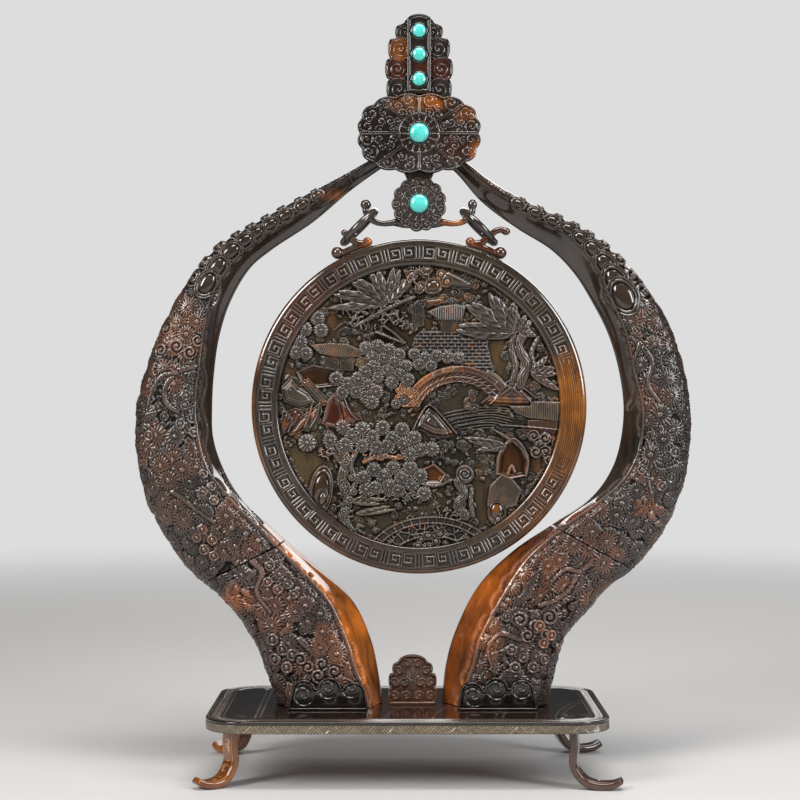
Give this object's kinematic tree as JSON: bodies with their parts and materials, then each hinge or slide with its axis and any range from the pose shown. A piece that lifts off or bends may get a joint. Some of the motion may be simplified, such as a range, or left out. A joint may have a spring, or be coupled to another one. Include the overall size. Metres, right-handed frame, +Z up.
{
  "type": "hanging screen",
  "caption": "Free-standing carved horn screen: a round landscape panel in a fretted rim hangs by rings between curved arms on a footed stand.",
  "frame": {"origin": "on the floor, under the middle of the whole object's box", "axes": "+Z up, the carved front faces -Y, +X to the viewer's right"},
  "size_m": [0.3452, 0.14, 0.4665],
  "materials": {
    "horn_dark": "gloss",
    "horn_carved": "satin",
    "horn_olive": "satin",
    "horn_brown": "gloss",
    "horn_amber": "gloss",
    "horn_ivory": "gloss",
    "turquoise": "gloss",
    "wood": "matte"
  },
  "bodies": {
    "frame": {"platform_core": "wood", "platform_top": "horn_dark", "platform_edge_band": "horn_olive", "leg_front_left": "horn_amber", "leg_rear_left": "horn_amber", "leg_front_right": "horn_brown", "leg_rear_right": "horn_brown", "left_arm_lower": "horn_carved", "left_arm_upper": "horn_carved", "right_arm_lower": "horn_carved", "right_arm_upper": "horn_carved", "splice_dowel_left": "wood", "splice_dowel_right": "wood", "base_dowel_left": "wood", "base_dowel_right": "wood", "foot_plaque_left": "horn_dark", "foot_plaque_right": "horn_dark", "centre_cloud": "horn_brown", "crown_block": "horn_dark", "crown_medallion": "horn_ivory", "crown_plume": "horn_ivory", "plume_strip": "horn_brown", "pendant_rosette": "horn_ivory", "yoke": "horn_brown", "medallion_peg_left": "wood", "medallion_peg_right": "wood", "plume_peg": "wood", "pendant_neck_peg": "wood", "yoke_peg": "wood", "cabochon_crown": "turquoise", "cabochon_plume_top": "turquoise", "cabochon_plume_middle": "turquoise", "cabochon_plume_low": "turquoise", "cabochon_pendant": "turquoise"},
    "ring_left": {"left_ring": "horn_ivory"},
    "ring_right": {"right_ring": "horn_ivory"},
    "disc": {"disc_rim": "horn_olive", "disc_core": "wood", "disc_panel_front": "horn_olive", "disc_panel_back": "horn_dark", "left_lug": "horn_amber", "right_lug": "horn_brown", "lug_pin_left": "wood", "lug_pin_right": "wood"}
  },
  "joints": [
    {"name": "left_ring_swing", "type": "hinge", "parent": "frame", "child": "ring_left", "pos_m": [-0.0267, 0, 0.3425], "axis": [1, 0, 0], "range_deg": [-20, 20]},
    {"name": "right_ring_swing", "type": "hinge", "parent": "frame", "child": "ring_right", "pos_m": [0.0347, 0, 0.3425], "axis": [1, 0, 0], "range_deg": [-20, 20]},
    {"name": "disc_swing", "type": "hinge", "parent": "ring_left", "child": "disc", "pos_m": [-0.0393, 0, 0.3299], "axis": [1, 0, 0], "range_deg": [-15, 15]}
  ],
  "couplings": [
    {"joint": "right_ring_swing", "follows": "left_ring_swing", "ratio": 1}
  ]
}
